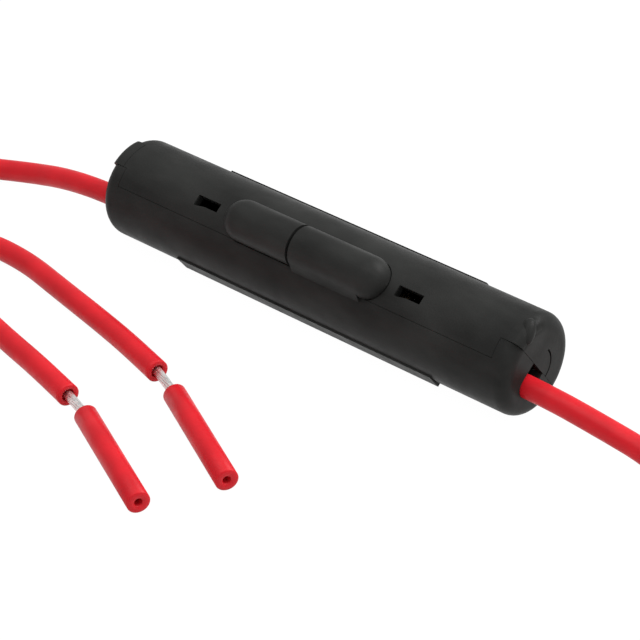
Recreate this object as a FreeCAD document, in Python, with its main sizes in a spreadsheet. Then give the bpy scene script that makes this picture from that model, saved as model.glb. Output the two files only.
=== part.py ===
import FreeCAD, Part
import math
import os
import Sketcher

# Inline fuse holder for a 6.35 x 31.75 mm glass cartridge fuse, in millimetres.
# A round holder is split along its length. The lower half carries the fuse, the contacts and
# the leads. The upper half is a cover that swings on a hinge barrel along the holder's side.
# Each shell is drawn lying level, with the hinge barrel towards -Y and the parting plane at
# Z = 0, and is then turned about its axis to the attitude in which the holder comes to rest.

DOC = FreeCAD.newDocument("inline_fuse_holder")
SHEET = DOC.addObject("Spreadsheet::Sheet", "sizes")

DIMENSIONS = {
    "holder_length": 70.2,
    "holder_radius": 7.0,
    "end_round": 1.8,
    "wall": 1.3,
    "end_wall": 2.0,
    "shoulder_length": 2.8,
    "cover_end_round": 1.9,
    "ear_start": 2.2,
    "ear_reach": 0.1,
    "ear_proud": 0.05,
    "ear_depth": 1.4,
    "ear_round": 1.2,
    "ear_sweep": 40.0,
    "mark_radius": 2.5,
    "mark_width": 0.25,
    "mark_depth": 0.3,
    "mark_sweep": 95.0,
    "seam_depth": 2.7,
    "seam_inset": 4.0,
    "parting_gap": 0.05,
    "rail_length": 44.2,
    "rail_shift": 0.65,
    "rail_front": 0.8,
    "rail_back": 2.15,
    "rail_height": 0.2,
    "barrel_stand": 0.2,
    "barrel_radius": 2.9,
    "barrel_shift": 0.5,
    "split_place": 0.5,
    "split_width": 0.45,
    "barrel_clearance": 0.12,
    "foot_outer_rise": 0.05,
    "foot_inner_rise": 0.7,
    "foot_bite": 0.6,
    "pin_radius": 0.8,
    "pin_cover": 4.5,
    "pin_clearance": 0.05,
    "window_spacing": 34.8,
    "window_shift": 0.2,
    "window_width": 4.0,
    "window_top": 0.8,
    "window_tall": 1.55,
    "window_short": 1.3,
    "window_step_start": 0.48,
    "window_step_end": 1.8,
    "window_margin": 1.9,
    "latch_width": 10.0,
    "latch_reach": 3.0,
    "latch_thickness": 0.7,
    "latch_clearance": 0.12,
    "lead_radius": 1.525,
    "lead_drop": 2.7,
    "lead_slot_clearance": 0.1,
    "lead_entry": 7.5,
    "lead_straight": 2.5,
    "strand_radius": 0.75,
    "strand_clearance": 0.02,
    "strand_tuck": 6.0,
    "strand_start": 0.15,
    "slug_start": 0.3,
    "slug_length": 20.2,
    "fuse_length": 31.75,
    "cap_radius": 3.175,
    "cap_length": 6.35,
    "cap_wall": 0.3,
    "glass_wall": 0.9,
    "element_radius": 0.12,
    "clip_thickness": 0.4,
    "clip_width": 5.0,
    "clip_opening": 1.7,
    "clip_clearance": 0.02,
    "tab_width": 2.8,
    "crimp_length": 5.0,
    "crimp_gap": 3.2,
    "rib_thickness": 1.2,
    "rib_spacing": 6.5,
    "rib_clearance": 0.05,
}

for row, (alias, number) in enumerate(DIMENSIONS.items(), start=1):
    SHEET.set("A%d" % row, alias)
    SHEET.set("B%d" % row, str(number))
    SHEET.setAlias("B%d" % row, alias)
DOC.recompute()


class Size:
    """A length that carries its formula for the sheet and its present number."""

    def __init__(self, text, number):
        self.text = text
        self.number = number

    @staticmethod
    def of(other):
        return other if isinstance(other, Size) else Size(repr(other), other)

    def join(self, sign, other, number):
        return Size("(%s %s %s)" % (self.text, sign, other.text), number)

    def __add__(self, other):
        other = Size.of(other)
        return self.join("+", other, self.number + other.number)

    def __radd__(self, other):
        return Size.of(other) + self

    def __sub__(self, other):
        other = Size.of(other)
        return self.join("-", other, self.number - other.number)

    def __rsub__(self, other):
        return Size.of(other) - self

    def __mul__(self, other):
        other = Size.of(other)
        return self.join("*", other, self.number * other.number)

    def __rmul__(self, other):
        return Size.of(other) * self

    def __truediv__(self, other):
        other = Size.of(other)
        return self.join("/", other, self.number / other.number)

    def __neg__(self):
        return 0 - self


def size(alias):
    return Size("sizes." + alias, float(SHEET.get(alias)))


def root(value):
    return Size("sqrt(%s)" % value.text, math.sqrt(value.number))


def on_circle(radius, height):
    """How far out a circle of this radius is at this height above its centre."""
    return root(radius * radius - height * height)


HALF = size("holder_length") / 2
OUTER = size("holder_radius")
CAVITY = OUTER - size("wall")
CAVITY_END = HALF - size("end_wall")
GAP = size("parting_gap")
SHOULDER = HALF - size("shoulder_length")
ACROSS = size("holder_length") + size("holder_length")
BARREL_Y = -(OUTER + size("barrel_stand"))
BARREL_HALF = size("window_spacing") / 2 - size("window_width") / 2 - size("window_margin")
BARREL_LEFT = size("barrel_shift") - BARREL_HALF
BARREL_RIGHT = size("barrel_shift") + BARREL_HALF
PIN_HALF = BARREL_HALF - size("pin_cover")
SPLIT = -size("split_place")
COVER_SPLIT = SPLIT - size("split_width") / 2
BASE_SPLIT = SPLIT + size("split_width") / 2
RAIL_TOP = OUTER + size("rail_height")
LEAD_Z = -size("lead_drop")
CRIMP_RADIUS = size("strand_radius") + size("strand_clearance") + size("clip_thickness")
SEAT = -(size("cap_radius") + size("clip_clearance") + size("clip_thickness"))
FAR = OUTER * 2
# Each bend of a lead takes this share of the shorter run beside it.
BEND_SHARE = 0.45

# The holder rests on its round back and on the lower edge of one rail, which sets its roll.
rail_back = size("rail_back").number
rail_corner = math.hypot(RAIL_TOP.number, rail_back)
corner_from_rail = math.atan2(rail_back, RAIL_TOP.number)
corner_from_floor = math.acos(OUTER.number / rail_corner)
ROLL = 90.0 - math.degrees(corner_from_rail + corner_from_floor)
# The frame's origin is on the floor, midway between the barrel's crest and the back rail.
roll_angle = math.radians(ROLL)
front = -BARREL_Y.number * math.cos(roll_angle) + size("barrel_radius").number
back = RAIL_TOP.number * math.sin(roll_angle) + rail_back * math.cos(roll_angle)
RESTING = FreeCAD.Placement(
    FreeCAD.Vector(0, (front - back) / 2, OUTER.number),
    FreeCAD.Rotation(FreeCAD.Vector(1, 0, 0), -ROLL),
)


def bind(thing, name, value):
    """Tie one property of an object to the sheet."""
    thing.setExpression(name, Size.of(value).text)


def plane_of(body, role):
    for feature in body.Origin.OriginFeatures:
        if feature.Role == role:
            return feature
    raise ValueError("no plane " + role)


def arc_between(start, end, radius, side):
    """The short arc between two points, with its centre to the left (1) or right (-1)."""
    chord = end.sub(start)
    middle = (start + end) * 0.5
    rise = math.sqrt(max(radius * radius - (chord.Length / 2) ** 2, 0.0))
    left = FreeCAD.Vector(-chord.y, chord.x, 0).normalize()
    centre = middle + left * (side * rise)
    outward = middle.sub(centre)
    if outward.Length < 1e-9:
        outward = left * -side
    crown = centre + outward.normalize() * radius
    return Part.Arc(start, crown, end)


def draw(body, role, name, loops, axis=None, offset=None):
    """A sketch on one of the body's own planes.

    A loop is a list of corners. A corner is (x, y), reached by a straight line, or
    (x, y, radius, side), reached by an arc. Every corner and radius is tied to the sheet.
    """
    sketch = body.newObject("Sketcher::SketchObject", name)
    sketch.AttachmentSupport = [(plane_of(body, role), "")]
    sketch.MapMode = "FlatFace"
    if offset is not None:
        sketch.AttachmentOffset = FreeCAD.Placement(
            FreeCAD.Vector(0, 0, offset.number), FreeCAD.Rotation()
        )
        bind(sketch, "AttachmentOffset.Base.z", offset)
    for loop in loops:
        draw_loop(sketch, loop)
    if axis is not None:
        draw_axis(sketch, axis)
    return sketch


def tie_point(sketch, geometry, corner, point):
    """Tie one end of a line or arc to the sheet in both directions."""
    for kind, value in (("DistanceX", point[0]), ("DistanceY", point[1])):
        value = Size.of(value)
        constraint = Sketcher.Constraint(kind, -1, 1, geometry, corner, value.number)
        index = sketch.addConstraint(constraint)
        bind(sketch, "Constraints[%d]" % index, value)


def draw_loop(sketch, loop):
    first = None
    before = None
    for corner, following in zip(loop, loop[1:] + loop[:1]):
        start = FreeCAD.Vector(Size.of(corner[0]).number, Size.of(corner[1]).number, 0)
        end = FreeCAD.Vector(Size.of(following[0]).number, Size.of(following[1]).number, 0)
        if len(following) == 2:
            index = sketch.addGeometry(Part.LineSegment(start, end), False)
            start_end, end_end = 1, 2
        else:
            radius, side = Size.of(following[2]), following[3]
            index = sketch.addGeometry(arc_between(start, end, radius.number, side), False)
            opposite = sketch.getPoint(index, 1).sub(start).Length > 1e-6
            start_end, end_end = (2, 1) if opposite else (1, 2)
            constraint = Sketcher.Constraint("Radius", index, radius.number)
            number = sketch.addConstraint(constraint)
            bind(sketch, "Constraints[%d]" % number, radius)
        tie_point(sketch, index, end_end, following)
        if before is not None:
            sketch.addConstraint(
                Sketcher.Constraint("Coincident", before[0], before[1], index, start_end)
            )
        else:
            first = (index, start_end)
        before = (index, end_end)
    sketch.addConstraint(
        Sketcher.Constraint("Coincident", before[0], before[1], first[0], first[1])
    )


def draw_axis(sketch, height):
    """A construction line along X at this height, to revolve about."""
    value = Size.of(height)
    line = Part.LineSegment(
        FreeCAD.Vector(0, value.number, 0), FreeCAD.Vector(1, value.number, 0)
    )
    index = sketch.addGeometry(line, True)
    tie_point(sketch, index, 1, (0, height))
    tie_point(sketch, index, 2, (1, height))


def new_body(label):
    body = DOC.addObject("PartDesign::Body", label)
    body.Label = label
    return body


def revolve(body, kind, sketch, name, sweep=None, reverse=False):
    """A Revolution or a Groove about the sketch's construction axis, whole unless swept."""
    feature = body.newObject("PartDesign::" + kind, name)
    feature.Profile = sketch
    feature.ReferenceAxis = (sketch, ["Axis0"])
    if sweep is None:
        feature.Angle = 360
    else:
        bind(feature, "Angle", sweep)
    feature.Reversed = reverse
    return checked(body, feature)


def extrude(body, kind, sketch, name, length, midplane=True, reverse=False):
    """A Pad or a Pocket of this length, which may lie on both sides of the sketch."""
    feature = body.newObject("PartDesign::" + kind, name)
    feature.Profile = sketch
    bind(feature, "Length", length)
    feature.SideType = "Symmetric" if midplane else "One side"
    feature.Reversed = reverse
    return checked(body, feature)


def checked(body, feature):
    """Each feature has to change its body's volume, so a cut that misses is found at once."""
    before = volume_of(body)
    body.Tip = feature
    DOC.recompute()
    after = volume_of(body)
    if not feature.isValid() or abs(after - before) < 1e-6:
        raise RuntimeError("%s failed: %s" % (feature.Name, feature.getStatusString()))
    return feature


def volume_of(body):
    shape = body.Shape
    return 0.0 if shape.isNull() else shape.Volume


def box_loop(left, low, right, high):
    return [(left, low), (right, low), (right, high), (left, high)]


# The shells: both are turned profiles, hollowed, parted and fitted with half of the barrel.


def hollow(body, prefix):
    """The fuse chamber inside a shell, closed by the end walls."""
    loop = [(-CAVITY_END, 0), (CAVITY_END, 0), (CAVITY_END, CAVITY), (-CAVITY_END, CAVITY)]
    sketch = draw(body, "XZ_Plane", prefix + "_chamber_outline", [loop], axis=0)
    revolve(body, "Groove", sketch, prefix + "_chamber")


def rail(body, prefix, upward):
    """The flat raised panel along the crown of a shell."""
    left = size("rail_shift") - size("rail_length") / 2
    right = size("rail_shift") + size("rail_length") / 2
    loop = box_loop(left, -size("rail_front"), right, size("rail_back"))
    level = OUTER - size("wall") / 2
    sketch = draw(
        body, "XY_Plane", prefix + "_rail_outline", [loop], offset=level if upward else -level
    )
    height = size("rail_height") + size("wall") / 2
    extrude(body, "Pad", sketch, prefix + "_rail", height, midplane=False, reverse=not upward)


def knuckle_loop(nose, split, growth=0.0):
    """Half of a bullet-nosed hinge knuckle, from its split face to its nose."""
    radius = size("barrel_radius")
    side = -1 if nose.number < split.number else 1
    shoulder = nose - side * radius
    grown = radius + growth
    return [
        (split, BARREL_Y),
        (split, BARREL_Y - grown),
        (shoulder, BARREL_Y - grown),
        (shoulder + side * grown, BARREL_Y, grown, side),
    ]


def knuckle(body, prefix, nose, split):
    sketch = draw(
        body, "XY_Plane", prefix + "_knuckle_outline", [knuckle_loop(nose, split)], axis=BARREL_Y
    )
    revolve(body, "Revolution", sketch, prefix + "_knuckle")


def clear_barrel(body, prefix, nose, split):
    """Room for the other shell's knuckle, a clearance larger all round."""
    loop = knuckle_loop(nose, split, size("barrel_clearance"))
    sketch = draw(body, "XY_Plane", prefix + "_barrel_room_outline", [loop], axis=BARREL_Y)
    revolve(body, "Groove", sketch, prefix + "_barrel_room")


def pin_bore(body, prefix, radius):
    loop = [
        (SPLIT - PIN_HALF, BARREL_Y),
        (SPLIT + PIN_HALF, BARREL_Y),
        (SPLIT + PIN_HALF, BARREL_Y - radius),
        (SPLIT - PIN_HALF, BARREL_Y - radius),
    ]
    sketch = draw(body, "XY_Plane", prefix + "_pin_bore_outline", [loop], axis=BARREL_Y)
    revolve(body, "Groove", sketch, prefix + "_pin_bore")


def shell_loop(rounded):
    """Half of a closed cylinder whose ends are rounded to this radius."""
    return [
        (-HALF, 0),
        (HALF, 0),
        (HALF, OUTER - rounded),
        (HALF - rounded, OUTER, rounded, 1),
        (-(HALF - rounded), OUTER),
        (-HALF, OUTER - rounded, rounded, 1),
    ]


def base_shell():
    body = new_body("base_shell")
    sketch = draw(body, "XZ_Plane", "base_outline", [shell_loop(size("end_round"))], axis=0)
    revolve(body, "Revolution", sketch, "base_turned")
    # Between the shoulders the wall on the hinge side stops lower, under the cover's skirt.
    top = -GAP
    seam = -size("seam_depth") - GAP
    parting = [
        (-FAR, top),
        (FAR, top),
        (FAR, FAR),
        (-FAR, FAR),
    ]
    sketch = draw(body, "YZ_Plane", "base_parting_outline", [parting])
    extrude(body, "Pocket", sketch, "base_parting", ACROSS)
    skirt_room = box_loop(-FAR, seam, -size("seam_inset"), FAR)
    sketch = draw(body, "YZ_Plane", "base_skirt_room_outline", [skirt_room])
    extrude(body, "Pocket", sketch, "base_skirt_room", SHOULDER * 2)
    rail(body, "base", False)
    recess(body)
    clear_barrel(body, "base", BARREL_LEFT, BASE_SPLIT)
    knuckle(body, "base", BARREL_RIGHT, BASE_SPLIT)
    web(body)
    # The chamber comes after the knuckle, so nothing of the hinge stands in it.
    hollow(body, "base")
    # Slots in both end walls, open at the parting plane, where the leads lie.
    width = size("lead_radius") + size("lead_slot_clearance")
    slot = [
        (-width, LEAD_Z),
        (0, LEAD_Z - width, width, 1),
        (width, LEAD_Z, width, 1),
        (width, FAR),
        (-width, FAR),
    ]
    sketch = draw(body, "YZ_Plane", "base_lead_slot_outline", [slot])
    extrude(body, "Pocket", sketch, "base_lead_slot", ACROSS)
    ribs(body)
    pin_bore(body, "base", size("pin_radius"))
    body.Placement = RESTING
    return body


def ribs(body):
    """Cross ribs under each contact, level with the underside of its bow, tab and crimp."""
    seat = SEAT - size("rib_clearance")
    crimp_seat = LEAD_Z - CRIMP_RADIUS - size("rib_clearance")
    fuse_end = size("fuse_length") / 2
    crimp_middle = fuse_end + size("crimp_gap") + size("crimp_length") / 2
    for side, name in ((-1, "left"), (1, "right")):
        rib(body, "rib_%s_inner" % name, side * (fuse_end - size("rib_spacing")), seat)
        rib(body, "rib_%s_middle" % name, side * fuse_end, seat)
        rib(body, "rib_%s_outer" % name, side * crimp_middle, crimp_seat)


def rib(body, name, place, top):
    """One rib, a segment of the chamber's circle let into its wall."""
    radius = CAVITY + size("wall") / 2
    reach = on_circle(radius, top)
    loop = [
        (-reach, top),
        (0, -radius, radius, 1),
        (reach, top, radius, 1),
    ]
    sketch = draw(body, "YZ_Plane", name + "_outline", [loop], offset=place)
    extrude(body, "Pad", sketch, name, size("rib_thickness"))


def recess(body):
    """A shallow recess on the back where the cover's latch tab lies flush."""
    half = size("latch_width") / 2 + size("latch_clearance")
    depth = size("latch_reach") + size("latch_clearance")
    floor = on_circle(OUTER, size("latch_reach")) - size("latch_thickness")
    loop = box_loop(floor, -depth, FAR, FAR)
    sketch = draw(body, "YZ_Plane", "base_latch_recess_outline", [loop])
    extrude(body, "Pocket", sketch, "base_latch_recess", half * 2)


def web(body):
    """The foot that joins the base's knuckle to its wall."""
    radius = size("barrel_radius")
    outer_drop = radius - size("foot_outer_rise")
    inner_drop = radius - size("foot_inner_rise")
    seam = size("seam_depth") + GAP
    low = seam + size("foot_bite")
    loop = [
        (BARREL_Y - on_circle(radius, outer_drop), -outer_drop),
        (-on_circle(OUTER, low), -low),
        (-on_circle(CAVITY, low), -low),
        (-on_circle(CAVITY, seam), -seam),
        (BARREL_Y + on_circle(radius, inner_drop), -inner_drop),
    ]
    right = BARREL_RIGHT - radius
    middle = (BASE_SPLIT + right) / 2
    sketch = draw(body, "YZ_Plane", "base_knuckle_foot_outline", [loop], offset=middle)
    extrude(body, "Pad", sketch, "base_knuckle_foot", right - BASE_SPLIT)


def cover_shell():
    body = new_body("cover_shell")
    sketch = draw(
        body, "XZ_Plane", "cover_outline", [shell_loop(size("cover_end_round"))], axis=0
    )
    revolve(body, "Revolution", sketch, "cover_turned")
    # The parting plane, with a skirt on the hinge side that reaches down to the seam.
    seam = -size("seam_depth")
    inset = -size("seam_inset") - GAP
    parting = [
        (inset, 0),
        (FAR, 0),
        (FAR, -FAR),
        (-FAR, -FAR),
        (-FAR, seam),
        (inset, seam),
    ]
    sketch = draw(body, "YZ_Plane", "cover_parting_outline", [parting])
    extrude(body, "Pocket", sketch, "cover_parting", ACROSS)
    skirt_end = SHOULDER - GAP
    ends = [
        box_loop(skirt_end, -FAR, HALF + 1, 0),
        box_loop(-(HALF + 1), -FAR, -skirt_end, 0),
    ]
    sketch = draw(body, "XZ_Plane", "cover_skirt_ends_outline", ends)
    extrude(body, "Pocket", sketch, "cover_skirt_ends", FAR * 2)
    ears(body)
    end_marks(body)
    knuckle(body, "cover", BARREL_LEFT, COVER_SPLIT)
    rail(body, "cover", True)
    latch_tab(body)
    # The skirt is cut away where the base's knuckle and its foot stand.
    right = BARREL_RIGHT - size("barrel_radius") + size("barrel_clearance")
    room = box_loop(COVER_SPLIT, -FAR, right, 0)
    sketch = draw(body, "XZ_Plane", "cover_foot_room_outline", [room])
    extrude(body, "Pocket", sketch, "cover_foot_room", FAR * 2)
    clear_barrel(body, "cover", BARREL_RIGHT, COVER_SPLIT)
    hollow(body, "cover")
    windows(body)
    pin_bore(body, "cover", size("pin_radius") + size("pin_clearance"))
    body.Placement = RESTING
    return body


def ears(body):
    """A raised, rounded ear on each end's rim, over the seam on the hinge side."""
    inner = HALF - size("ear_start")
    outer = HALF + size("ear_reach")
    top = OUTER + size("ear_proud")
    low = top - size("ear_depth")
    rounded = size("ear_round")
    for side, name in ((-1, "left"), (1, "right")):
        loop = [
            (side * inner, -low),
            (side * outer, -low),
            (side * outer, -(top - rounded)),
            (side * (outer - rounded), -top, rounded, -side),
            (side * inner, -top),
        ]
        sketch = draw(body, "XY_Plane", "cover_ear_%s_outline" % name, [loop], axis=0)
        sweep = size("ear_sweep")
        revolve(body, "Revolution", sketch, "cover_ear_" + name, sweep, reverse=True)


def end_marks(body):
    """A fine moulded arc in each end face, concentric with the holder."""
    inner = HALF - size("mark_depth")
    outer = HALF + size("mark_depth")
    low = size("mark_radius")
    for side, name in ((-1, "left"), (1, "right")):
        loop = box_loop(side * inner, low, side * outer, low + size("mark_width"))
        sketch = draw(body, "XY_Plane", "cover_mark_%s_outline" % name, [loop], axis=0)
        revolve(body, "Groove", sketch, "cover_mark_" + name, size("mark_sweep"))


def latch_tab(body):
    """A flush tab on the back that laps over the base."""
    half = size("latch_width") / 2
    reach = size("latch_reach")
    root_height = size("wall")
    thin = size("latch_thickness") - size("latch_clearance")
    outer = on_circle(OUTER, reach)
    loop = [
        (outer - thin, -reach),
        (outer, -reach),
        (on_circle(OUTER, root_height), root_height, OUTER, 1),
        (outer - thin, root_height),
    ]
    sketch = draw(body, "YZ_Plane", "cover_latch_tab_outline", [loop])
    extrude(body, "Pad", sketch, "cover_latch_tab", half * 2)


def windows(body):
    """Two stepped windows through the skirt, in line with the barrel."""
    width = size("window_width")
    top = size("window_top")
    loops = []
    for side in (-1, 1):
        left = side * size("window_spacing") / 2 + size("window_shift") - width / 2
        loops.append(
            [
                (left, top),
                (left + width, top),
                (left + width, top - size("window_short")),
                (left + size("window_step_end"), top - size("window_short")),
                (left + size("window_step_start"), top - size("window_tall")),
                (left, top - size("window_tall")),
            ]
        )
    sketch = draw(body, "XZ_Plane", "cover_windows_outline", loops)
    extrude(body, "Pocket", sketch, "cover_windows", FAR, midplane=False, reverse=True)


def turned(label, loop, axis=0):
    """A round piece, from half of its section."""
    body = new_body(label)
    sketch = draw(body, "XY_Plane", label + "_outline", [loop], axis=axis)
    revolve(body, "Revolution", sketch, label + "_turned")
    body.Placement = RESTING
    return body


def hinge_pin():
    radius = size("pin_radius")
    loop = [
        (SPLIT - PIN_HALF, BARREL_Y),
        (SPLIT + PIN_HALF, BARREL_Y),
        (SPLIT + PIN_HALF, BARREL_Y - radius),
        (SPLIT - PIN_HALF, BARREL_Y - radius),
    ]
    return turned("hinge_pin", loop, axis=BARREL_Y)


# The cartridge fuse: a glass tube, two drawn caps and the fusible wire between them.


def fuse_glass():
    outer = size("cap_radius") - size("cap_wall")
    inner = outer - size("glass_wall")
    half = size("fuse_length") / 2 - size("cap_wall")
    return turned("fuse_glass", box_loop(-half, inner, half, outer))


def fuse_cap(label, side):
    outer = size("cap_radius")
    wall = size("cap_wall")
    end = side * size("fuse_length") / 2
    floor = side * (size("fuse_length") / 2 - wall)
    mouth = side * (size("fuse_length") / 2 - size("cap_length"))
    loop = [
        (end, 0),
        (end, outer),
        (mouth, outer),
        (mouth, outer - wall),
        (floor, outer - wall),
        (floor, 0),
    ]
    return turned(label, loop)


def fuse_element():
    half = size("fuse_length") / 2 - size("cap_wall")
    return turned("fuse_element", box_loop(-half, 0, half, size("element_radius")))


# The contacts: a strip bent up round the fuse's cap at one end and round the lead at the other.


def contact_clip(label, side):
    body = new_body(label)
    inner = size("cap_radius") + size("clip_clearance")
    outer = inner + size("clip_thickness")
    opening = size("clip_opening")
    middle = side * (size("fuse_length") - size("cap_length")) / 2
    bow = [
        (-on_circle(inner, opening), opening, inner, -1),
        (-on_circle(outer, opening), opening),
        (0, -outer, outer, 1),
        (on_circle(outer, opening), opening, outer, 1),
        (on_circle(inner, opening), opening),
        (0, -inner, inner, -1),
    ]
    sketch = draw(body, "YZ_Plane", label + "_bow_outline", [bow], offset=middle)
    extrude(body, "Pad", sketch, label + "_bow", size("clip_width"))
    # The tab runs out under the cap's end to the crimp.
    start = side * (size("fuse_length") / 2 - size("cap_length") / 2)
    crimp_end = side * (size("fuse_length") / 2 + size("crimp_gap") + size("crimp_length"))
    half_tab = size("tab_width") / 2
    strip = box_loop(start, -half_tab, crimp_end, half_tab)
    sketch = draw(body, "XY_Plane", label + "_tab_outline", [strip], offset=SEAT)
    extrude(body, "Pad", sketch, label + "_tab", size("clip_thickness"), midplane=False)
    # The crimp closes round the bare strands.
    bore = size("strand_radius") + size("strand_clearance")
    round_loop = circle_loop(CRIMP_RADIUS, LEAD_Z)
    hole_loop = circle_loop(bore, LEAD_Z)
    centre = side * (size("fuse_length") / 2 + size("crimp_gap") + size("crimp_length") / 2)
    sketch = draw(body, "YZ_Plane", label + "_crimp_outline", [round_loop], offset=centre)
    extrude(body, "Pad", sketch, label + "_crimp", size("crimp_length"))
    sketch = draw(body, "YZ_Plane", label + "_crimp_bore_outline", [hole_loop], offset=centre)
    extrude(body, "Pocket", sketch, label + "_crimp_bore", ACROSS)
    body.Placement = RESTING
    return body


def circle_loop(radius, height):
    """A full circle about the lead's axis, as four arcs."""
    return [
        (radius, height, radius, 1),
        (0, height + radius, radius, 1),
        (-radius, height, radius, 1),
        (0, height - radius, radius, 1),
    ]


# The leads: each leaves an end wall, drops to the floor and ends in bare strands and a slug.
# A route's points are x, y and height, or only x and y where the lead lies on the floor.

LEFT_ROUTE = (
    (-46.5, -1.5, 4.3),
    (-54.0, -1.9, 2.4),
    (-61.5, -3.9),
    (-69.0, -8.0),
    (-73.0, -16.5),
    (-70.6, -25.3),
    (-62.4, -29.6),
    (-53.2, -26.4),
    (-46.0, -20.2),
    (-38.0, -18.7),
    (-29.5, -20.1),
    (-20.5, -22.0),
    (-12.9, -23.8),
    (-6.1, -25.8),
)
RIGHT_ROUTE = (
    (46.0, -2.2, 4.4),
    (54.0, -1.6, 2.6),
    (62.0, -3.6),
    (70.5, -9.5),
    (75.5, -19.0),
    (75.6, -30.0),
    (67.0, -40.5),
    (55.5, -51.0),
    (43.5, -60.8),
    (32.5, -71.5),
    (22.0, -78.5),
    (10.0, -78.4),
    (-1.5, -74.0),
    (-13.0, -69.8),
    (-25.5, -66.0),
    (-36.5, -61.5),
    (-46.5, -56.0),
    (-53.6, -48.6),
    (-55.4, -39.6),
    (-50.0, -32.2),
    (-41.2, -29.9),
    (-33.0, -31.6),
    (-25.5, -33.5),
    (-18.2, -35.1),
    (-10.9, -37.1),
)
LEFT_TIP = (-1.3, -27.9)
RIGHT_TIP = (-6.5, -38.6)
LEFT_SLUG_AIM = (16.6, -37.3)
RIGHT_SLUG_AIM = (11.6, -47.5)


def resting_point(x, y, z):
    return RESTING.multVec(FreeCAD.Vector(x, y, z))


def floor_point(place):
    return FreeCAD.Vector(place[0], place[1], size("lead_radius").number)


def route_point(place):
    return FreeCAD.Vector(*place) if len(place) == 3 else floor_point(place)


def lead_points(side, route):
    """The route from the contact inside the holder to the end of the insulation."""
    inside = side * (HALF.number - size("lead_entry").number)
    outside = side * (HALF + size("lead_straight")).number
    head = [
        resting_point(inside, 0, LEAD_Z.number),
        resting_point(outside, 0, LEAD_Z.number),
    ]
    return head + [route_point(point) for point in route]


def smooth_path(points, label):
    """Straight runs joined by tangent arcs as large as the runs allow."""
    edges = []
    last = points[0]
    length = 0.0
    tightest = 1e9
    for before, corner, after in zip(points, points[1:], points[2:]):
        into = corner.sub(before)
        out = after.sub(corner)
        half_turn = into.getAngle(out) / 2
        setback = BEND_SHARE * min(into.Length, out.Length)
        radius = setback / math.tan(half_turn)
        start = corner.sub(FreeCAD.Vector(into).normalize() * setback)
        end = corner + FreeCAD.Vector(out).normalize() * setback
        bisector = (start + end) * 0.5 - corner
        centre = corner + bisector.normalize() * (radius / math.cos(half_turn))
        crown = centre + FreeCAD.Vector(corner.sub(centre)).normalize() * radius
        edges.append(Part.LineSegment(last, start).toShape())
        edges.append(Part.Arc(start, crown, end).toShape())
        length += start.sub(last).Length + 2 * half_turn * radius
        tightest = min(tightest, radius)
        print("%s radius %.1f at %.1f %.1f" % (label, radius, corner.x, corner.y))
        last = end
    edges.append(Part.LineSegment(last, points[-1]).toShape())
    length += points[-1].sub(last).Length
    print("%s length %.1f, tightest radius %.1f" % (label, length, tightest))
    return Part.Wire(edges), length


def solid_node(label, shape):
    node = DOC.addObject("Part::Feature", label)
    node.Label = label
    node.Shape = shape
    return node


def disc(centre, direction, radius):
    return Part.Wire(Part.makeCircle(radius, centre, direction))


def lead(label, side, route):
    points = lead_points(side, route)
    path, length = smooth_path(points, label)
    radius = size("lead_radius").number
    section = disc(points[0], points[1].sub(points[0]), radius)
    tube = path.makePipeShell([section], True, True)
    expected = math.pi * radius**2 * length
    if abs(tube.Volume / expected - 1) > 0.01:
        raise RuntimeError("%s has the wrong volume" % label)
    return solid_node(label, tube)


def rod(start, end, radius, bore=0.0):
    along = end.sub(start)
    outer = Part.makeCylinder(radius, along.Length, start, along)
    if not bore:
        return outer
    return outer.cut(Part.makeCylinder(bore, along.Length, start, along))


def lead_end(side_name, route, tip, aim):
    """The bare strands past the insulation, and the slug of insulation pulled half off."""
    end = route_point(route[-1])
    tip = floor_point(tip)
    start = end + tip.sub(end).normalize() * size("strand_start").number
    direction = floor_point(aim).sub(tip).normalize()
    slug_end = tip + direction * size("slug_length").number
    tucked = tip + direction * size("strand_tuck").number
    strand = size("strand_radius").number
    neck = rod(start, tip, strand)
    tail = rod(tip, tucked, strand)
    joint = Part.makeSphere(strand, tip)
    strands = neck.fuse([tail, joint]).removeSplitter()
    solid_node("lead_%s_strands" % side_name, strands)
    bore = strand + size("strand_clearance").number
    slug_start = tip + direction * size("slug_start").number
    slug = rod(slug_start, slug_end, size("lead_radius").number, bore)
    solid_node("lead_%s_slug" % side_name, slug)


def lead_core(side_name, side):
    """The bare strands between the insulation and the crimp."""
    crimp = side * (size("fuse_length").number / 2 + size("crimp_gap").number)
    inside = side * (HALF.number - size("lead_entry").number)
    start = resting_point(crimp, 0, LEAD_Z.number)
    end = resting_point(inside, 0, LEAD_Z.number)
    solid_node("lead_%s_core" % side_name, rod(start, end, size("strand_radius").number))


def build():
    base_shell()
    cover_shell()
    hinge_pin()
    fuse_glass()
    fuse_cap("fuse_cap_left", -1)
    fuse_cap("fuse_cap_right", 1)
    fuse_element()
    contact_clip("contact_clip_left", -1)
    contact_clip("contact_clip_right", 1)
    lead("lead_left", -1, LEFT_ROUTE)
    lead("lead_right", 1, RIGHT_ROUTE)
    lead_core("left", -1)
    lead_core("right", 1)
    lead_end("left", LEFT_ROUTE, LEFT_TIP, LEFT_SLUG_AIM)
    lead_end("right", RIGHT_ROUTE, RIGHT_TIP, RIGHT_SLUG_AIM)


def nodes():
    kinds = ("PartDesign::Body", "Part::Feature")
    return [thing for thing in DOC.Objects if thing.TypeId in kinds]


def export():
    os.makedirs("parts", exist_ok=True)
    DOC.recompute()
    for thing in DOC.Objects:
        if "Invalid" in thing.State or "Error" in thing.State:
            raise RuntimeError("%s failed: %s" % (thing.Name, thing.State))
    for node in nodes():
        shape = node.Shape
        if shape.isNull() or not shape.isValid() or not shape.Solids:
            raise RuntimeError("%s has no valid solid" % node.Label)
        print("%s: %d solid, %.1f mm3" % (node.Label, len(shape.Solids), shape.Volume))
    for node in nodes():
        node.Shape.exportStep("parts/%s.step" % node.Label)


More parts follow.
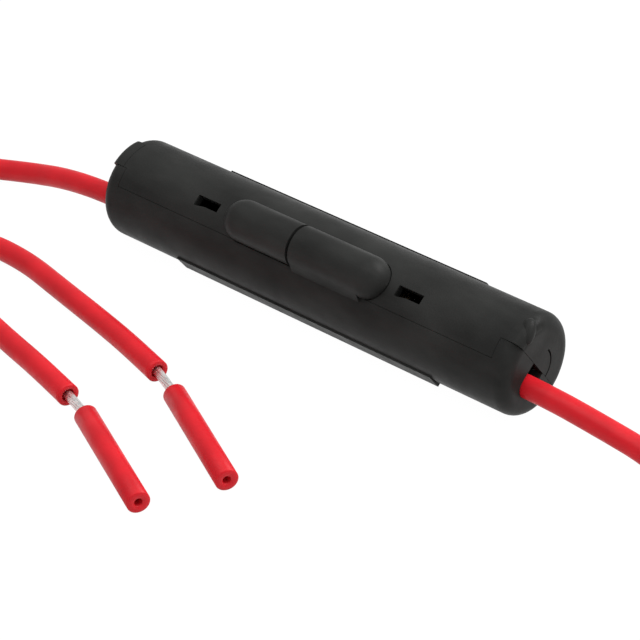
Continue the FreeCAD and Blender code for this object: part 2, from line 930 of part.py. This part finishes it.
build()
export()
print("roll %.2f degrees" % ROLL)
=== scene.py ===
import math

import bpy
from bpy.props import FloatProperty, FloatVectorProperty, IntProperty, PointerProperty
from mathutils import Matrix, Vector


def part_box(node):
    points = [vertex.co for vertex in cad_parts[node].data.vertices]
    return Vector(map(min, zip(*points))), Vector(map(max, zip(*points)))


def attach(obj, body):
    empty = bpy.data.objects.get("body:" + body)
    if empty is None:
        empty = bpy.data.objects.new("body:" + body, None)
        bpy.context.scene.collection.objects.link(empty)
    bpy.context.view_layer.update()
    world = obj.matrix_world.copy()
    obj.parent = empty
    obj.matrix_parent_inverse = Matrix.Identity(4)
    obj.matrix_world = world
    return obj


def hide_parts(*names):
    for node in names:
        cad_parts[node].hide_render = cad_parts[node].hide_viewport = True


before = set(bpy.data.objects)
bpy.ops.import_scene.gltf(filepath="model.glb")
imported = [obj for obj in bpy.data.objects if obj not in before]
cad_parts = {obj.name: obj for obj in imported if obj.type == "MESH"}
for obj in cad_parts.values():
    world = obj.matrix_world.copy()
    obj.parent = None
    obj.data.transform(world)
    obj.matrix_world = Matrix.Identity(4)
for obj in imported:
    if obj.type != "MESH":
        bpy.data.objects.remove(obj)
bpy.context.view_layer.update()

bl_info = {
    "name": "Inline fuse holder",
    "version": (1, 0, 0),
    "blender": (4, 5, 0),
    "location": "3D View > Sidebar > Fuse holder",
    "description": "Dresses a hinged inline fuse holder with its fuse, contacts and leads",
    "category": "Object",
}

MM = 0.001
UP = Vector((0, 0, 1))
HOLDER = "holder"
COVER = "cover"
SIDES = {"left": -1, "right": 1}

# The leads' routes, in millimetres: from the holder's end down to the floor, out of the view
# and back to the stripped ends in front of the holder. A point of x and y is on the floor.
LEFT_ROUTE = (
    (-46.5, -1.9, 4.45),
    (-54.0, -1.9, 2.6),
    (-61.5, -3.9),
    (-69.0, -8.0),
    (-73.0, -16.5),
    (-70.6, -25.3),
    (-62.4, -29.6),
    (-54.2, -25.2),
    (-47.4, -18.2),
    (-38.5, -18.1),
    (-29.5, -20.1),
    (-20.5, -22.0),
    (-12.9, -23.8),
    (-6.1, -25.8),
)
RIGHT_ROUTE = (
    (46.0, -1.9, 4.5),
    (54.0, -1.1, 2.8),
    (62.0, -3.6),
    (70.5, -9.5),
    (75.5, -19.0),
    (75.6, -30.0),
    (67.0, -40.5),
    (55.5, -51.0),
    (43.5, -60.8),
    (32.5, -71.5),
    (22.0, -78.5),
    (10.0, -78.4),
    (-1.5, -74.0),
    (-13.0, -69.8),
    (-25.5, -66.0),
    (-36.5, -61.5),
    (-46.5, -56.0),
    (-53.6, -48.6),
    (-55.4, -39.6),
    (-50.0, -32.2),
    (-41.2, -29.9),
    (-33.0, -31.6),
    (-25.5, -33.5),
    (-18.2, -35.1),
    (-10.9, -37.1),
)
ROUTES = {"left": LEFT_ROUTE, "right": RIGHT_ROUTE}
STRAIGHT_RUN = 2.5 * MM  # past the end wall, before the route starts

# Where the bare strands enter each slug, and a point that the slug aims at, in millimetres
TIPS = {"left": (-1.3, -27.9), "right": (-6.5, -38.6)}
SLUG_AIMS = {"left": (16.6, -37.3), "right": (11.6, -47.5)}

# The bare strands: how deep they stand in the slug, and how they are wound
STRAND_TUCK = 5.5 * MM
STRAND_TURNS = 0.3
STRAND_STEPS = 12
INNER_STRANDS = 6
INNER_SPACING = 1.9  # from the outer strands to the inner ones, in radii of a strand
ROUNDING = 1e-9

# The slug: its gap to the tip, how much of its length that gap and the far end take, its lips,
# and the room round the strands and beyond their ends
SLUG_GAP = 0.3 * MM
SLUG_TRIM = 0.35 * MM
SLUG_LIP = 0.12 * MM
GRIP_CLEARANCE = 0.02 * MM
SHELF_CLEARANCE = 0.3 * MM

# The open cuff at each lead's cut end
CUFF_LENGTH = 0.7 * MM
CUFF_BORE_RADIUS = 0.88 * MM
CUFF_LIP = 0.08 * MM

# The lug on the cover's rim: rings of height and radius in millimetres, its place, the way it
# faces, the way it runs, how flat it is and how deep it sits
LUG_RINGS = (
    (-1.75, 0.05),
    (-1.62, 0.4),
    (-1.2, 0.68),
    (-0.5, 0.86),
    (0.3, 0.92),
    (1.0, 0.84),
    (1.45, 0.6),
    (1.68, 0.3),
    (1.75, 0.05),
)
LUG_PLACE = (34.55, -1.45, 13.05)
LUG_OUTWARD = (0.766, -0.161, 0.622)
LUG_ALONG = (-0.35, 0.71, 0.61)
LUG_FLATNESS = 0.85
LUG_SINK = 0.05 * MM

MERGE_DISTANCE = 0.001 * MM
SMOOTH_ANGLE = math.radians(50)
LUG_SMOOTH_ANGLE = math.radians(60)

# The middle of a noise, which the materials spread over their own ranges
NOISE_LOW = 0.3
NOISE_HIGH = 0.7

# The stage: angles in degrees, lengths in metres, power in watts
FLOOR_SIZE = 6.0
GROUND_GLOW = 1.04
WORLD_LIGHT = 0.6
LAMPS = {
    "key": {
        "azimuth": -10.0, "elevation": 78.0, "distance": 0.9, "size": (0.9, 0.9), "power": 4.4,
    },
    "rear": {
        "azimuth": 148.0, "elevation": 46.0, "distance": 0.9, "size": (0.8, 0.5), "power": 5.2,
    },
    "fill": {
        "azimuth": 80.0, "elevation": 35.0, "distance": 1.0, "size": (0.8, 0.8), "power": 0.6,
    },
    "kicker": {
        "azimuth": 145.0, "elevation": 40.0, "distance": 0.9, "size": (0.3, 0.3), "power": 2.6,
    },
}
CAMERA_AZIMUTH = 40.87
CAMERA_ELEVATION = 32.99
CAMERA_DISTANCE = 335.3 * MM
CAMERA_AIM = (7.48 * MM, -9.62 * MM, 7.24 * MM)
CAMERA_LENS = 146.9
SENSOR_WIDTH = 36.0


# Shader helpers


def new_material(name):
    """A new material, with its node tree and its shader."""
    material = bpy.data.materials.new(name)
    material.use_nodes = True
    tree = material.node_tree
    return material, tree, tree.nodes["Principled BSDF"]


def set_inputs(node, values):
    for name, value in values.items():
        node.inputs[name].default_value = value


def object_noise(tree, scale, detail=2.0, roughness=0.5, stretch=None):
    """Noise on the piece's own place, in units of its size in metres."""
    place = tree.nodes.new("ShaderNodeTexCoord").outputs["Object"]
    if stretch is not None:
        mapping = tree.nodes.new("ShaderNodeMapping")
        mapping.inputs["Scale"].default_value = stretch
        tree.links.new(place, mapping.inputs["Vector"])
        place = mapping.outputs["Vector"]
    noise = tree.nodes.new("ShaderNodeTexNoise")
    set_inputs(noise, {"Scale": scale, "Detail": detail, "Roughness": roughness})
    tree.links.new(place, noise.inputs["Vector"])
    return noise.outputs["Fac"]


def cloud_colour(tree, shader, noise, colour, darker, lighter=1.0):
    """Lets a noise drift the base colour between a darker and a lighter shade."""
    ramp = tree.nodes.new("ShaderNodeValToRGB")
    ends = ((NOISE_LOW, darker), (NOISE_HIGH, lighter))
    for index, (position, share) in enumerate(ends):
        ramp.color_ramp.elements[index].position = position
        shade = [min(channel * share, 1.0) for channel in colour]
        ramp.color_ramp.elements[index].color = (*shade, 1)
    tree.links.new(noise, ramp.inputs["Fac"])
    tree.links.new(ramp.outputs["Color"], shader.inputs["Base Color"])


def cloud_roughness(tree, shader, noise, low, high):
    """Lets a noise drift the roughness between two values."""
    spread = tree.nodes.new("ShaderNodeMapRange")
    set_inputs(
        spread,
        {"From Min": NOISE_LOW, "From Max": NOISE_HIGH, "To Min": low, "To Max": high},
    )
    tree.links.new(noise, spread.inputs["Value"])
    tree.links.new(spread.outputs["Result"], shader.inputs["Roughness"])


def bump(tree, shader, noise, distance, strength):
    """Raises the surface by a noise, on top of any bump that the shader already has."""
    node = tree.nodes.new("ShaderNodeBump")
    set_inputs(node, {"Distance": distance, "Strength": strength})
    tree.links.new(noise, node.inputs["Height"])
    previous = shader.inputs["Normal"].links
    if previous:
        tree.links.new(previous[0].from_socket, node.inputs["Normal"])
    tree.links.new(node.outputs["Normal"], shader.inputs["Normal"])


def maximum(tree, first, second):
    """The larger of two sockets."""
    node = tree.nodes.new("ShaderNodeMath")
    node.operation = "MAXIMUM"
    tree.links.new(first, node.inputs[0])
    tree.links.new(second, node.inputs[1])
    return node.outputs[0]


# Materials, one function for each finish


def moulded_nylon(settings):
    """Black glass-filled nylon: satin, with a fine grain and cloudy gloss."""
    material, tree, shader = new_material("moulded_nylon")
    shader.inputs["Specular IOR Level"].default_value = 0.07
    clouds = object_noise(tree, scale=160.0, detail=3.0, roughness=0.55, stretch=(0.5, 1.0, 1.0))
    cloud_colour(tree, shader, clouds, settings.plastic_colour, darker=0.68, lighter=1.4)
    shine = object_noise(tree, scale=420.0, detail=3.0, roughness=0.6)
    low = settings.plastic_roughness - 0.05
    high = settings.plastic_roughness + 0.07
    cloud_roughness(tree, shader, shine, low, high)
    grain = object_noise(tree, scale=5200.0, roughness=0.55)
    bump(tree, shader, grain, distance=0.000035, strength=0.55)
    waves = object_noise(tree, scale=300.0, detail=1.0, roughness=0.4, stretch=(0.4, 1.0, 1.0))
    bump(tree, shader, waves, distance=0.0001, strength=0.32)
    return material


def red_insulation(settings):
    """Red PVC: slightly glossy, with faint clouds in its colour and a fine grain."""
    material, tree, shader = new_material("red_insulation")
    set_inputs(shader, {
        "Specular IOR Level": 0.18,
        "Subsurface Weight": 0.06,
        "Subsurface Radius": (0.001, 0.0003, 0.0003),
        "Subsurface Scale": 0.5,
    })
    clouds = object_noise(tree, scale=240.0, detail=3.0)
    cloud_colour(tree, shader, clouds, settings.lead_colour, darker=0.86, lighter=1.08)
    cloud_roughness(tree, shader, object_noise(tree, scale=700.0), low=0.34, high=0.46)
    bump(tree, shader, object_noise(tree, scale=2600.0), distance=0.00003, strength=0.3)
    return material


def metal(name, colour, roughness, scale):
    """A bare metal with cloudy tarnish and a fine texture."""
    material, tree, shader = new_material(name)
    shader.inputs["Metallic"].default_value = 1.0
    clouds = object_noise(tree, scale, detail=3.0)
    cloud_colour(tree, shader, clouds, colour, darker=0.78)
    cloud_roughness(tree, shader, clouds, low=roughness * 0.8, high=roughness * 1.3)
    bump(tree, shader, object_noise(tree, scale * 12), distance=0.00002, strength=0.25)
    return material


def clear_glass():
    """The fuse's glass tube, faintly green and slightly streaked."""
    material, tree, shader = new_material("fuse_glass_clear")
    set_inputs(shader, {
        "Base Color": (0.93, 0.97, 0.95, 1),
        "Transmission Weight": 1.0,
        "IOR": 1.5,
    })
    streaks = object_noise(tree, scale=300.0, stretch=(0.2, 1.0, 1.0))
    cloud_roughness(tree, shader, streaks, low=0.02, high=0.07)
    return material


def white_stage(settings):
    """A pale ground that shows white to the camera and still takes the holder's shadow."""
    material, tree, shader = new_material("white_ground")
    set_inputs(shader, {
        "Base Color": (*settings.ground_colour, 1),
        "Roughness": 0.9,
        "Specular IOR Level": 0.1,
    })
    glow = tree.nodes.new("ShaderNodeEmission")
    glow.inputs["Strength"].default_value = GROUND_GLOW
    rays = tree.nodes.new("ShaderNodeLightPath").outputs
    seen = maximum(tree, rays["Is Camera Ray"], rays["Is Glossy Ray"])
    seen = maximum(tree, seen, rays["Is Transmission Ray"])
    share = tree.nodes.new("ShaderNodeMath")
    share.operation = "MULTIPLY"
    share.inputs[1].default_value = settings.ground_whiteness
    tree.links.new(seen, share.inputs[0])
    mix = tree.nodes.new("ShaderNodeMixShader")
    tree.links.new(share.outputs[0], mix.inputs[0])
    tree.links.new(shader.outputs[0], mix.inputs[1])
    tree.links.new(glow.outputs[0], mix.inputs[2])
    tree.links.new(mix.outputs[0], tree.nodes["Material Output"].inputs["Surface"])
    return material


# Mesh and curve helpers


def nothing_selected():
    """Back to object mode, with no object selected."""
    if bpy.context.object and bpy.context.object.mode != "OBJECT":
        bpy.ops.object.mode_set(mode="OBJECT")
    bpy.ops.object.select_all(action="DESELECT")


def settle(obj):
    """Puts a piece's place into its mesh, so that its object stands at the origin."""
    nothing_selected()
    obj.select_set(True)
    bpy.context.view_layer.objects.active = obj
    bpy.ops.object.transform_apply(location=True, rotation=True, scale=True)


def stand(obj, place, turn):
    """Sets a piece in its place and turns it, then settles it."""
    obj.rotation_mode = "QUATERNION"
    obj.rotation_quaternion = turn
    obj.location = place
    settle(obj)


def finish_piece(obj, name, material, body=HOLDER):
    """Names a piece, gives it its finish and ties it to its body."""
    obj.name = name
    obj.data.name = name
    obj.data.materials.clear()
    obj.data.materials.append(material)
    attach(obj, body)


def dress_node(node, material):
    """Gives a CAD node its finish."""
    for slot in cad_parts[node].material_slots:
        slot.material = material


def scene_settings():
    return bpy.context.scene.fuse_holder


def turned_piece(rings, vertices, fill_type="NOTHING"):
    """A piece turned about Z, drawn out from its first ring of height and radius to its last."""
    height, radius = rings[0]
    nothing_selected()
    bpy.ops.mesh.primitive_circle_add(
        vertices=vertices, radius=radius, fill_type=fill_type, location=(0, 0, height)
    )
    piece = bpy.context.object
    bpy.ops.object.transform_apply(location=True)
    bpy.ops.object.mode_set(mode="EDIT")
    bpy.ops.mesh.select_all(action="SELECT")
    for next_height, next_radius in rings[1:]:
        step = (0, 0, next_height - height)
        bpy.ops.mesh.extrude_region_move(TRANSFORM_OT_translate={"value": step})
        growth = next_radius / radius
        bpy.ops.transform.resize(
            value=(growth, growth, 1), center_override=(0, 0, next_height)
        )
        height, radius = next_height, next_radius
    bpy.ops.mesh.select_all(action="SELECT")
    bpy.ops.mesh.remove_doubles(threshold=MERGE_DISTANCE)
    bpy.ops.mesh.normals_make_consistent(inside=False)
    bpy.ops.object.mode_set(mode="OBJECT")
    return piece


def round_curve(name, points, radius, resolution, section_resolution):
    """One open, smooth curve with these control points and a round section."""
    curve = bpy.data.curves.new(name, "CURVE")
    curve.dimensions = "3D"
    curve.resolution_u = resolution
    curve.bevel_depth = radius
    curve.bevel_resolution = section_resolution
    curve.use_fill_caps = True
    spline = curve.splines.new("NURBS")
    spline.points.add(len(points) - 1)
    for target, place in zip(spline.points, points):
        target.co = (*place, 1)
    spline.order_u = 3
    spline.use_endpoint_u = True
    obj = bpy.data.objects.new(name, curve)
    bpy.context.scene.collection.objects.link(obj)
    return obj


def curve_length(obj):
    """The length of a curve's centre line, measured on a copy that has no section."""
    copy = obj.copy()
    line = obj.data.copy()
    line.bevel_depth = 0
    copy.data = line
    bpy.context.scene.collection.objects.link(copy)
    bpy.context.view_layer.update()
    mesh = bpy.data.meshes.new_from_object(copy)
    places = [vertex.co.copy() for vertex in mesh.vertices]
    bpy.data.meshes.remove(mesh)
    bpy.data.objects.remove(copy)
    bpy.data.curves.remove(line)
    return sum((b - a).length for a, b in zip(places, places[1:]))


# Sizes and colours that a user would change


class FuseHolderSettings(bpy.types.PropertyGroup):
    plastic_colour: FloatVectorProperty(
        name="Plastic", description="Colour of both shells", subtype="COLOR",
        default=(0.0188, 0.0192, 0.0183), min=0.0, max=1.0,
    )
    plastic_roughness: FloatProperty(
        name="Plastic roughness", description="How matt the shells are", default=0.42,
        min=0.1, max=0.9, subtype="FACTOR",
    )
    lead_colour: FloatVectorProperty(
        name="Leads", description="Colour of the leads' insulation", subtype="COLOR",
        default=(0.53, 0.0088, 0.0158), min=0.0, max=1.0,
    )
    lead_diameter: FloatProperty(
        name="Lead diameter", description="Outside of the insulation",
        default=0.00305, min=0.001, max=0.01, unit="LENGTH",
    )
    strand_count: IntProperty(
        name="Strands", description="Outer strands in each bundle", default=12, min=5, max=24,
    )
    strand_radius: FloatProperty(
        name="Bundle radius", description="Radius of the bare strand bundle",
        default=0.00065, min=0.0003, max=0.003, unit="LENGTH",
    )
    slug_length: FloatProperty(
        name="Slug length", description="Length of each pulled-off end of insulation",
        default=0.0202, min=0.008, max=0.05, unit="LENGTH",
    )
    slug_bore: FloatProperty(
        name="Slug bore", description="Bore of the slug beyond the strands",
        default=0.00105, min=0.0004, max=0.0014, unit="LENGTH",
    )
    ground_colour: FloatVectorProperty(
        name="Ground", description="Colour of the floor", subtype="COLOR",
        default=(0.72, 0.72, 0.72), min=0.0, max=1.0,
    )
    ground_whiteness: FloatProperty(
        name="Whiteness", description="How far the floor clears to white for the camera",
        default=0.95, min=0.0, max=1.0, subtype="FACTOR",
    )


# Shells


class FUSEHOLDER_OT_shells(bpy.types.Operator):
    """Finish both shells in black moulded plastic and add the lug on the cover's rim"""

    bl_idname = "fuseholder.shells"
    bl_label = "Shells"

    def execute(self, context):
        nylon = moulded_nylon(scene_settings())
        for node in ("base_shell", "cover_shell"):
            dress_node(node, nylon)
        rim_lug(nylon)
        return {"FINISHED"}


def rim_lug(material):
    """The small rounded lug on the cover's rim, above the right lead."""
    rings = [(height * MM, radius * MM) for height, radius in LUG_RINGS]
    lug = turned_piece(rings, vertices=24, fill_type="NGON")
    bpy.ops.object.mode_set(mode="EDIT")
    bpy.ops.mesh.select_all(action="SELECT")
    bpy.ops.transform.resize(value=(1, LUG_FLATNESS, 1), center_override=(0, 0, 0))
    bpy.ops.object.mode_set(mode="OBJECT")
    outward = Vector(LUG_OUTWARD).normalized()
    along = Vector(LUG_ALONG)
    along = (along - outward * along.dot(outward)).normalized()
    turn = Matrix((outward.cross(along), outward, along)).transposed()
    stand(lug, Vector(LUG_PLACE) * MM - outward * LUG_SINK, turn.to_quaternion())
    bpy.ops.object.shade_smooth_by_angle(angle=LUG_SMOOTH_ANGLE)
    finish_piece(lug, "cover_lug", material, COVER)


# Pin, fuse and contacts


class FUSEHOLDER_OT_inner_metal(bpy.types.Operator):
    """Finish the hinge pin, the fuse, the contact clips and the strands at the crimps"""

    bl_idname = "fuseholder.inner_metal"
    bl_label = "Fuse and contacts"

    def execute(self, context):
        dress_node(
            "hinge_pin", metal("drawn_steel", (0.56, 0.56, 0.57), roughness=0.3, scale=500.0)
        )
        nickel = metal("nickel_plate", (0.74, 0.72, 0.69), roughness=0.2, scale=400.0)
        for node in ("fuse_cap_left", "fuse_cap_right"):
            dress_node(node, nickel)
        dress_node(
            "fuse_element",
            metal("fusible_wire", (0.66, 0.65, 0.63), roughness=0.35, scale=900.0),
        )
        dress_node("fuse_glass", clear_glass())
        # The clips' brass is painted much darker than bare brass. This is painted shade for the
        # inside of the holder, so that the clips show black through the cover's windows.
        brass = metal("spring_brass_painted_shade", (0.3, 0.22, 0.11), roughness=0.38, scale=350.0)
        for node in ("contact_clip_left", "contact_clip_right"):
            dress_node(node, brass)
        tinned = metal("tinned_copper", (0.78, 0.77, 0.75), roughness=0.35, scale=900.0)
        for node in ("lead_left_core", "lead_right_core"):
            dress_node(node, tinned)
        return {"FINISHED"}


# Leads


def slot_centre():
    """Where a lead lies in the holder's end wall, from the strands at its crimp."""
    low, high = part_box("lead_left_core")
    return (low[1] + high[1]) / 2, (low[2] + high[2]) / 2


def route_point(point):
    """A point of a route in metres. One of x and y alone rests on the floor."""
    resting = scene_settings().lead_diameter / 2
    height = point[2] * MM if len(point) == 3 else resting
    return point[0] * MM, point[1] * MM, height


def lead_points(side_name):
    """The route's control points in metres, from inside the end wall to the stripped end."""
    side = SIDES[side_name]
    across, height = slot_centre()
    low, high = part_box("lead_%s_core" % side_name)
    inside = max(abs(low[0]), abs(high[0]))
    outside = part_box("base_shell")[1][0] + STRAIGHT_RUN
    head = [(side * inside, across, height), (side * outside, across, height)]
    return head + [route_point(point) for point in ROUTES[side_name]]


class FUSEHOLDER_OT_leads(bpy.types.Operator):
    """Lay both red leads, with their bare strands and the slugs on their ends"""

    bl_idname = "fuseholder.leads"
    bl_label = "Leads"

    def execute(self, context):
        settings = scene_settings()
        red = red_insulation(settings)
        tin = metal("tinned_strands", (0.98, 0.97, 0.96), roughness=0.3, scale=1200.0)
        for side_name, side in SIDES.items():
            points = lead_points(side_name)
            cuff, cuff_start = insulation_cuff(side_name, points, red)
            wire = round_curve(
                "lead_%s_wire" % side_name,
                points[:-1] + [cuff_start],
                settings.lead_diameter / 2,
                resolution=16,
                section_resolution=10,
            )
            finish_piece(wire, "lead_%s_wire" % side_name, red)
            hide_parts("lead_%s" % side_name)
            length = curve_length(wire)
            strands = bare_strands(side_name, points, tin)
            slug = insulation_slug(side_name, red)
        return {"FINISHED"}


def tip_frame(side_name):
    """Where the strands enter the slug, and the direction in which the slug points."""
    tip = Vector(route_point(TIPS[side_name]))
    aim = Vector(route_point(SLUG_AIMS[side_name]))
    return tip, (aim - tip).normalized()


def bare_strands(side_name, points, material):
    """The twisted strands between the insulation and the slug."""
    settings = scene_settings()
    start = Vector(points[-1])
    tip, direction = tip_frame(side_name)
    path = (
        start + (start - tip).normalized() * CUFF_LENGTH,
        start.lerp(tip, 0.5),
        tip,
        tip + direction * STRAND_TUCK,
    )
    count = settings.strand_count
    half_step = math.sin(math.pi / count)
    wire = settings.strand_radius * half_step / (1 + half_step)
    orbit = settings.strand_radius - wire
    inner_orbit = orbit - wire * INNER_SPACING
    pieces = [helix(path, orbit, wire, index / count) for index in range(count)]
    for index in range(INNER_STRANDS):
        pieces.append(helix(path, inner_orbit, wire, index / INNER_STRANDS))
    nothing_selected()
    for piece in pieces:
        piece.select_set(True)
    bpy.context.view_layer.objects.active = pieces[0]
    bpy.ops.object.convert(target="MESH")
    bpy.ops.object.join()
    bundle = bpy.context.object
    settle(bundle)
    bpy.ops.object.shade_smooth_by_angle(angle=SMOOTH_ANGLE)
    finish_piece(bundle, "lead_%s_bundle" % side_name, material)
    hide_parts("lead_%s_strands" % side_name)
    return bundle


def helix(path, orbit, radius, phase):
    """One strand wound about a path of straight runs."""
    lengths = [(b - a).length for a, b in zip(path, path[1:])]
    total = sum(lengths)
    points = []
    for index in range(STRAND_STEPS + 1):
        place, direction = along_path(path, lengths, total * index / STRAND_STEPS)
        sideways = direction.cross(UP).normalized()
        upward = sideways.cross(direction)
        turn = 2 * math.pi * (phase + STRAND_TURNS * index / STRAND_STEPS)
        offset = (sideways * math.cos(turn) + upward * math.sin(turn)) * orbit
        points.append(place + offset)
    return round_curve("strand", points, radius, resolution=2, section_resolution=1)


def along_path(path, lengths, along):
    """The place at a distance along a path, and the path's direction there."""
    for start, end, length in zip(path, path[1:], lengths):
        if along <= length + ROUNDING:
            return start.lerp(end, along / length), (end - start).normalized()
        along -= length
    return path[-1], (path[-1] - path[-2]).normalized()


def insulation_slug(side_name, material):
    """The short tube of insulation that is left half on the strands."""
    settings = scene_settings()
    tip, direction = tip_frame(side_name)
    outer = settings.lead_diameter / 2
    grip = settings.strand_radius + GRIP_CLEARANCE
    bore = settings.slug_bore / 2
    length = settings.slug_length - SLUG_TRIM
    shelf = STRAND_TUCK + SHELF_CLEARANCE
    rings = (
        (0.0, grip),
        (0.0, outer - SLUG_LIP),
        (SLUG_LIP, outer),
        (length / 3, outer),
        (length * 2 / 3, outer),
        (length - SLUG_LIP, outer),
        (length, outer - SLUG_LIP),
        (length, bore + SLUG_LIP),
        (length - SLUG_LIP, bore),
        (shelf, bore),
        (shelf, grip),
        (0.0, grip),
    )
    name = "lead_%s_sleeve" % side_name
    slug = insulation_tube(name, rings, tip + direction * SLUG_GAP, direction, material)
    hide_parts("lead_%s_slug" % side_name)
    return slug


def insulation_cuff(side_name, points, material):
    """The cut end of a lead, open round the strands, and where the solid run ends behind it."""
    outer = scene_settings().lead_diameter / 2
    end = Vector(points[-1])
    direction = (end - Vector(points[-2])).normalized()
    start = end - direction * CUFF_LENGTH
    rings = (
        (0.0, CUFF_BORE_RADIUS),
        (0.0, outer),
        (CUFF_LENGTH - CUFF_LIP, outer),
        (CUFF_LENGTH, outer - CUFF_LIP),
        (CUFF_LENGTH, CUFF_BORE_RADIUS + CUFF_LIP),
        (CUFF_LENGTH - CUFF_LIP, CUFF_BORE_RADIUS),
        (0.0, CUFF_BORE_RADIUS),
    )
    name = "lead_%s_cuff" % side_name
    return insulation_tube(name, rings, start, direction, material), tuple(start)


def insulation_tube(name, rings, start, direction, material):
    """A tube of insulation. Its last ring meets the first, which closes its wall."""
    tube = turned_piece(rings, vertices=48)
    stand(tube, start, UP.rotation_difference(direction))
    bpy.ops.object.shade_smooth_by_angle(angle=SMOOTH_ANGLE)
    finish_piece(tube, name, material)
    return tube


# Stage


def direction_from(azimuth, elevation):
    """The direction from the holder to something at these angles in degrees."""
    azimuth = math.radians(azimuth)
    elevation = math.radians(elevation)
    flat = math.cos(elevation)
    return Vector((math.sin(azimuth) * flat, -math.cos(azimuth) * flat, math.sin(elevation)))


def place_facing(obj, aim, outward, distance):
    """Links a camera or a lamp into the scene, at a distance from its aim and facing it."""
    bpy.context.scene.collection.objects.link(obj)
    obj.location = aim + outward * distance
    obj.rotation_euler = (-outward).to_track_quat("-Z", "Y").to_euler()


def add_camera():
    data = bpy.data.cameras.new("camera")
    data.lens = CAMERA_LENS
    data.sensor_width = SENSOR_WIDTH
    data.sensor_fit = "HORIZONTAL"
    data.clip_start = 0.01
    data.clip_end = 20.0
    camera = bpy.data.objects.new("camera", data)
    outward = direction_from(CAMERA_AZIMUTH, CAMERA_ELEVATION)
    place_facing(camera, Vector(CAMERA_AIM), outward, CAMERA_DISTANCE)
    bpy.context.scene.camera = camera


def add_lamp(name, azimuth, elevation, distance, size, power):
    data = bpy.data.lights.new(name, "AREA")
    data.shape = "RECTANGLE"
    data.size, data.size_y = size
    data.energy = power
    lamp = bpy.data.objects.new(name, data)
    place_facing(lamp, Vector((0, 0, 0)), direction_from(azimuth, elevation), distance)


def add_world():
    """Even white light from all round, with a pale background for the camera."""
    world = bpy.data.worlds.new("studio")
    bpy.context.scene.world = world
    world.use_nodes = True
    tree = world.node_tree
    light = tree.nodes["Background"]
    set_inputs(light, {"Color": (1, 1, 1, 1), "Strength": WORLD_LIGHT})
    shown = tree.nodes.new("ShaderNodeBackground")
    set_inputs(shown, {"Color": (0.8, 0.8, 0.8, 1), "Strength": 1.0})
    rays = tree.nodes.new("ShaderNodeLightPath").outputs
    mix = tree.nodes.new("ShaderNodeMixShader")
    tree.links.new(rays["Is Camera Ray"], mix.inputs[0])
    tree.links.new(light.outputs[0], mix.inputs[1])
    tree.links.new(shown.outputs[0], mix.inputs[2])
    tree.links.new(mix.outputs[0], tree.nodes["World Output"].inputs["Surface"])


class FUSEHOLDER_OT_stage(bpy.types.Operator):
    """Set the pale floor, the soft studio light and the camera"""

    bl_idname = "fuseholder.stage"
    bl_label = "Stage"

    def execute(self, context):
        nothing_selected()
        bpy.ops.mesh.primitive_plane_add(size=FLOOR_SIZE, location=(0, 0, 0))
        floor = bpy.context.object
        floor.name = "floor"
        floor.data.materials.append(white_stage(scene_settings()))
        add_world()
        for name, lamp in LAMPS.items():
            add_lamp(name, **lamp)
        add_camera()
        context.scene.view_settings.view_transform = "Standard"
        return {"FINISHED"}


# Panel and registration


class FUSEHOLDER_PT_panel(bpy.types.Panel):
    bl_label = "Fuse holder"
    bl_idname = "FUSEHOLDER_PT_panel"
    bl_space_type = "VIEW_3D"
    bl_region_type = "UI"
    bl_category = "Fuse holder"

    def draw(self, context):
        settings = context.scene.fuse_holder
        column = self.layout.column()
        for name in settings.bl_rna.properties.keys():
            if name not in ("rna_type", "name"):
                column.prop(settings, name)
        for operator in OPERATORS:
            column.operator(operator.bl_idname)


OPERATORS = (
    FUSEHOLDER_OT_stage,
    FUSEHOLDER_OT_shells,
    FUSEHOLDER_OT_inner_metal,
    FUSEHOLDER_OT_leads,
)
CLASSES = (FuseHolderSettings, *OPERATORS, FUSEHOLDER_PT_panel)


def register():
    for entry in CLASSES:
        bpy.utils.register_class(entry)
    bpy.types.Scene.fuse_holder = PointerProperty(type=FuseHolderSettings)


def unregister():
    del bpy.types.Scene.fuse_holder
    for entry in reversed(CLASSES):
        bpy.utils.unregister_class(entry)


def main():
    register()
    bpy.ops.fuseholder.stage()
    bpy.ops.fuseholder.shells()
    bpy.ops.fuseholder.inner_metal()
    bpy.ops.fuseholder.leads()


if __name__ == "__main__":
    main()
